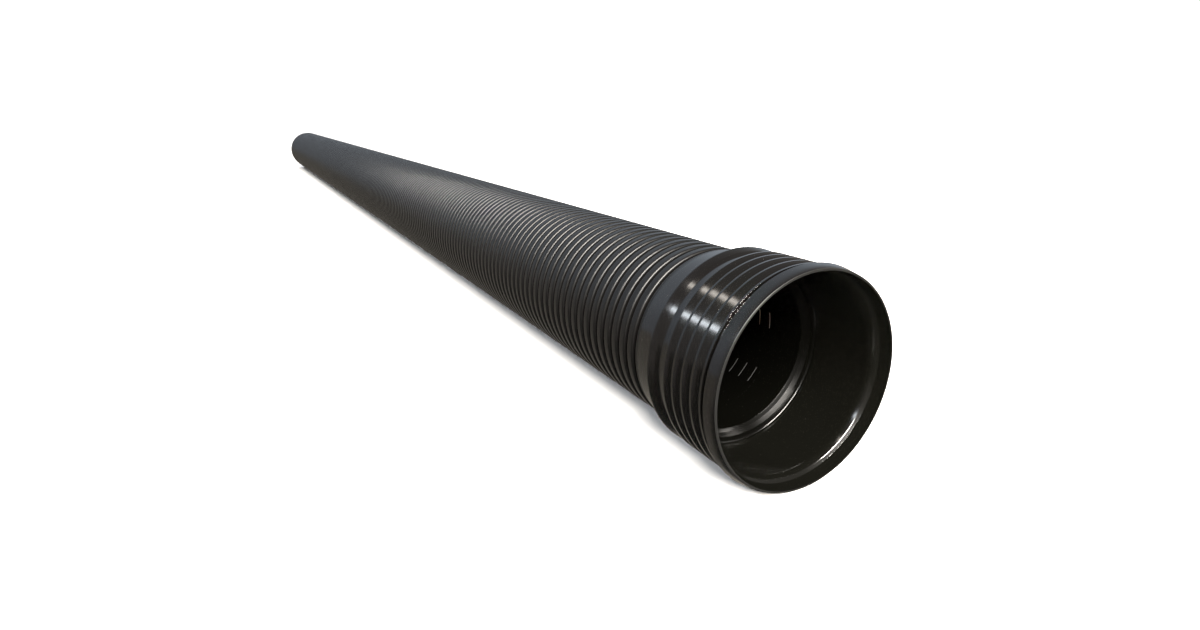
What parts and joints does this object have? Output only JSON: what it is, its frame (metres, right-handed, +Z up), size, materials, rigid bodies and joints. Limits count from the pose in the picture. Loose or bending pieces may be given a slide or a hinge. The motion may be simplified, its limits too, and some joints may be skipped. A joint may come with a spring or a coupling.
{
  "type": "corrugated drainage pipe",
  "caption": "Long corrugated plastic drainage pipe with a smooth bore, water slots in its grooves and a ribbed socket on one end.",
  "frame": {"origin": "centre of the plain end, on the pipe's axis", "axes": "+X along the pipe's axis from the plain end to the socket, +Z up as the pipe lies"},
  "size_m": [6.1435, 0.353, 0.353],
  "materials": {
    "black_plastic": "smooth black polyethylene, glossy on the socket and satin on the barrel"
  },
  "bodies": {
    "root": {"drainage_pipe": "black_plastic"}
  },
  "joints": []
}
